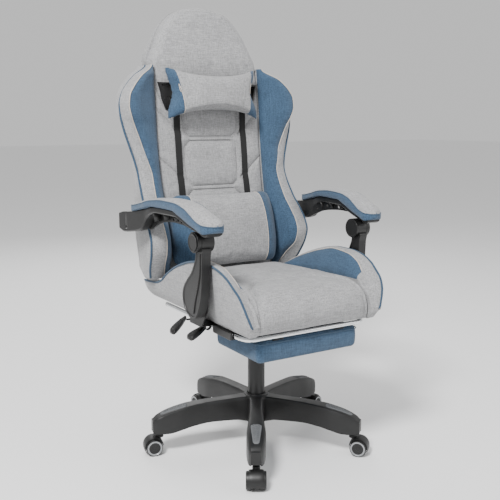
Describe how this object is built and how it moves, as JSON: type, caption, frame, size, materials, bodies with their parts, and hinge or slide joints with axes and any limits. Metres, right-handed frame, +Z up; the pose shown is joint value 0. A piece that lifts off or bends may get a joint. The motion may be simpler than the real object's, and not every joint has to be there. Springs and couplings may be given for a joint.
{
  "type": "gaming chair",
  "caption": "High-backed reclining gaming chair in grey and blue fabric with linked armrests, pull-out footrest, gas lift and five-star caster base",
  "frame": {"origin": "middle of the bounding box at floor level; the column axis is 6 mm to +X and 44 mm to -Y of it", "axes": "+Z up, the sitter faces -Y, +X is the sitter's left"},
  "size_m": [0.685, 0.727, 1.343],
  "materials": {
    "grey_fabric": "woven, matte",
    "blue_fabric": "woven, matte",
    "nylon": "fine grain",
    "wheel_rubber": "satin",
    "black_steel": "powder coat",
    "zinc_steel": "zinc plated",
    "chrome": "polished",
    "elastic_webbing": "ribbed elastic"
  },
  "bodies": {
    "base": {"star_base": "nylon", "gas_outer_tube": "black_steel", "gas_guide_bush": "nylon", "thrust_bearing": "zinc_steel"},
    "gas_rod": {"piston_rod": "zinc_steel"},
    "seat": {"pressure_tube": "black_steel", "lift_plate": "black_steel", "seat_pan": "black_steel", "seat_cushion": "grey_fabric", "seat_bolster_left": "grey_fabric", "seat_bolster_right": "grey_fabric", "recliner_bracket_left": "black_steel", "recliner_bracket_right": "black_steel", "arm_bracket_left": "black_steel", "arm_bracket_right": "black_steel", "footrest_guide_left": "nylon", "footrest_guide_right": "nylon", "recline_lever_bracket": "black_steel"},
    "release_button": {"release_button": "zinc_steel"},
    "height_lever": {"height_lever": "nylon"},
    "recline_lever": {"recline_lever": "nylon"},
    "footrest_frame": {"footrest_tube": "chrome"},
    "footrest_pad": {"footrest_pad": "blue_fabric", "footrest_clip_left": "nylon", "footrest_clip_right": "nylon"},
    "back": {"back_cushion": "grey_fabric", "back_shell": "grey_fabric", "back_wing_left": "blue_fabric", "back_wing_right": "blue_fabric", "slot_bezel_left": "nylon", "slot_bezel_right": "nylon", "back_bracket_left": "black_steel", "back_bracket_right": "black_steel", "head_pillow": "grey_fabric", "lumbar_pillow": "grey_fabric", "strap_left": "elastic_webbing", "strap_right": "elastic_webbing", "armrest_hinge_left": "black_steel", "armrest_hinge_right": "black_steel"},
    "post_left": {"armrest_post_left": "nylon"},
    "arm_left": {"armrest_frame_left": "nylon", "armrest_pad_left": "grey_fabric", "pivot_cap_left": "nylon"},
    "post_right": {"armrest_post_right": "nylon"},
    "arm_right": {"armrest_frame_right": "nylon", "armrest_pad_right": "grey_fabric", "pivot_cap_right": "nylon"},
    "caster_1_fork": {"caster_1_housing": "nylon"},
    "caster_1_wheels": {"caster_1_wheels": "wheel_rubber"},
    "caster_2_fork": {"caster_2_housing": "nylon"},
    "caster_2_wheels": {"caster_2_wheels": "wheel_rubber"},
    "caster_3_fork": {"caster_3_housing": "nylon"},
    "caster_3_wheels": {"caster_3_wheels": "wheel_rubber"},
    "caster_4_fork": {"caster_4_housing": "nylon"},
    "caster_4_wheels": {"caster_4_wheels": "wheel_rubber"},
    "caster_5_fork": {"caster_5_housing": "nylon"},
    "caster_5_wheels": {"caster_5_wheels": "wheel_rubber"}
  },
  "joints": [
    {"name": "swivel", "type": "hinge", "parent": "base", "child": "gas_rod", "pos_m": [0.00631, -0.0435, 0.1], "axis": [0, 0, 1], "continuous": true},
    {"name": "lift", "type": "slide", "parent": "gas_rod", "child": "seat", "axis": [0, 0, 1], "range_m": [0, 0.08]},
    {"name": "height_lever_lift", "type": "hinge", "parent": "seat", "child": "height_lever", "pos_m": [-0.02369, -0.0575, 0.4025], "axis": [0, 1, 0], "range_deg": [0, 2.5], "stiffness_Nm_per_rad": 2, "springref_deg": -11.46},
    {"name": "release_button_press", "type": "slide", "parent": "seat", "child": "release_button", "axis": [0, 0, -1], "range_m": [0, 0.0016]},
    {"name": "recline_lever_lift", "type": "hinge", "parent": "seat", "child": "recline_lever", "pos_m": [-0.11169, 0.0225, 0.404], "axis": [0, 1, 0], "range_deg": [0, 4], "stiffness_Nm_per_rad": 2, "springref_deg": -11.46},
    {"name": "recline", "type": "hinge", "parent": "seat", "child": "back", "pos_m": [0.00631, 0.1915, 0.5], "axis": [-1, 0, 0], "range_deg": [0, 40]},
    {"name": "footrest_pull", "type": "slide", "parent": "seat", "child": "footrest_frame", "axis": [0, -1, 0], "range_m": [0, 0.28]},
    {"name": "footrest_flip", "type": "hinge", "parent": "footrest_frame", "child": "footrest_pad", "pos_m": [0.00631, -0.3155, 0.418], "axis": [-1, 0, 0], "range_deg": [0, 180]},
    {"name": "post_left_foot", "type": "hinge", "parent": "seat", "child": "post_left", "pos_m": [0.27331, -0.1735, 0.5], "axis": [-1, 0, 0], "range_deg": [0, 40]},
    {"name": "arm_left_pivot", "type": "hinge", "parent": "post_left", "child": "arm_left", "pos_m": [0.27331, -0.1935, 0.67], "axis": [1, 0, 0], "range_deg": [0, 40]},
    {"name": "post_right_foot", "type": "hinge", "parent": "seat", "child": "post_right", "pos_m": [-0.26069, -0.1735, 0.5], "axis": [-1, 0, 0], "range_deg": [0, 40]},
    {"name": "arm_right_pivot", "type": "hinge", "parent": "post_right", "child": "arm_right", "pos_m": [-0.26069, -0.1935, 0.67], "axis": [1, 0, 0], "range_deg": [0, 40]},
    {"name": "caster_1_swivel", "type": "hinge", "parent": "base", "child": "caster_1_fork", "pos_m": [-0.15531, -0.30215, 0.07], "axis": [0, 0, 1], "continuous": true},
    {"name": "caster_1_roll", "type": "hinge", "parent": "caster_1_fork", "child": "caster_1_wheels", "pos_m": [-0.16591, -0.31912, 0.025], "axis": [0.848, -0.5299, 0], "continuous": true},
    {"name": "caster_2_swivel", "type": "hinge", "parent": "base", "child": "caster_2_fork", "pos_m": [0.20236, -0.27714, 0.07], "axis": [0, 0, 1], "continuous": true},
    {"name": "caster_2_roll", "type": "hinge", "parent": "caster_2_fork", "child": "caster_2_wheels", "pos_m": [0.21522, -0.29246, 0.025], "axis": [0.766, 0.6428, 0], "continuous": true},
    {"name": "caster_3_swivel", "type": "hinge", "parent": "base", "child": "caster_3_fork", "pos_m": [0.28911, 0.07076, 0.07], "axis": [0, 0, 1], "continuous": true},
    {"name": "caster_3_roll", "type": "hinge", "parent": "caster_3_fork", "child": "caster_3_wheels", "pos_m": [0.30765, 0.07825, 0.025], "axis": [-0.3746, 0.9272, 0], "continuous": true},
    {"name": "caster_4_swivel", "type": "hinge", "parent": "base", "child": "caster_4_fork", "pos_m": [-0.01496, 0.26076, 0.07], "axis": [0, 0, 1], "continuous": true},
    {"name": "caster_4_roll", "type": "hinge", "parent": "caster_4_fork", "child": "caster_4_wheels", "pos_m": [-0.01636, 0.28071, 0.025], "axis": [-0.9976, -0.0698, 0], "continuous": true},
    {"name": "caster_5_swivel", "type": "hinge", "parent": "base", "child": "caster_5_fork", "pos_m": [-0.28963, 0.03029, 0.07], "axis": [0, 0, 1], "continuous": true},
    {"name": "caster_5_roll", "type": "hinge", "parent": "caster_5_fork", "child": "caster_5_wheels", "pos_m": [-0.30903, 0.03512, 0.025], "axis": [-0.2419, -0.9703, 0], "continuous": true}
  ],
  "couplings": [
    {"joint": "release_button_press", "follows": "height_lever_lift", "m_per_rad": 0.036},
    {"joint": "footrest_flip", "follows": "footrest_pull", "rad_per_m": 11.22},
    {"joint": "post_left_foot", "follows": "recline", "ratio": 1},
    {"joint": "arm_left_pivot", "follows": "recline", "ratio": 1},
    {"joint": "post_right_foot", "follows": "recline", "ratio": 1},
    {"joint": "arm_right_pivot", "follows": "recline", "ratio": 1}
  ]
}
